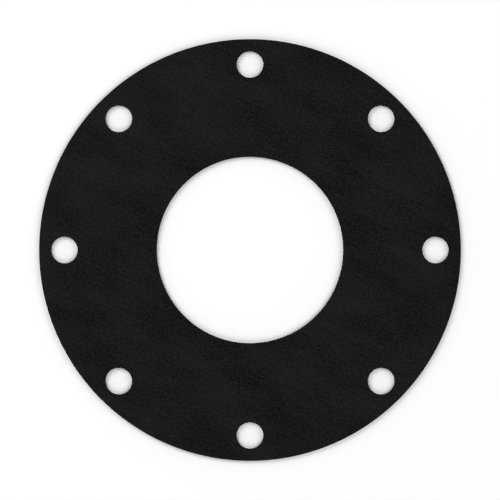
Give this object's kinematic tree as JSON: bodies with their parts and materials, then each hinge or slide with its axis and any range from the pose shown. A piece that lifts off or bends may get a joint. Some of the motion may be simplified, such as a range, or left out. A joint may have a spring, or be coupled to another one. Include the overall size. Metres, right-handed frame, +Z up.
{
  "type": "full face flange gasket",
  "caption": "Flat round gasket of black sheet rubber that seals a whole pipe flange face, with a central bore and an outer ring of bolt holes through the sheet.",
  "frame": {"origin": "centre of the bore on the lower face, which lies on the surface that the gasket rests on", "axes": "+Z up along the bore's axis, +X through the centre of one bolt hole"},
  "size_m": [0.339, 0.339, 0.0032],
  "materials": {
    "black_rubber": "matte"
  },
  "bodies": {
    "root": {"gasket": "black_rubber"}
  },
  "joints": []
}
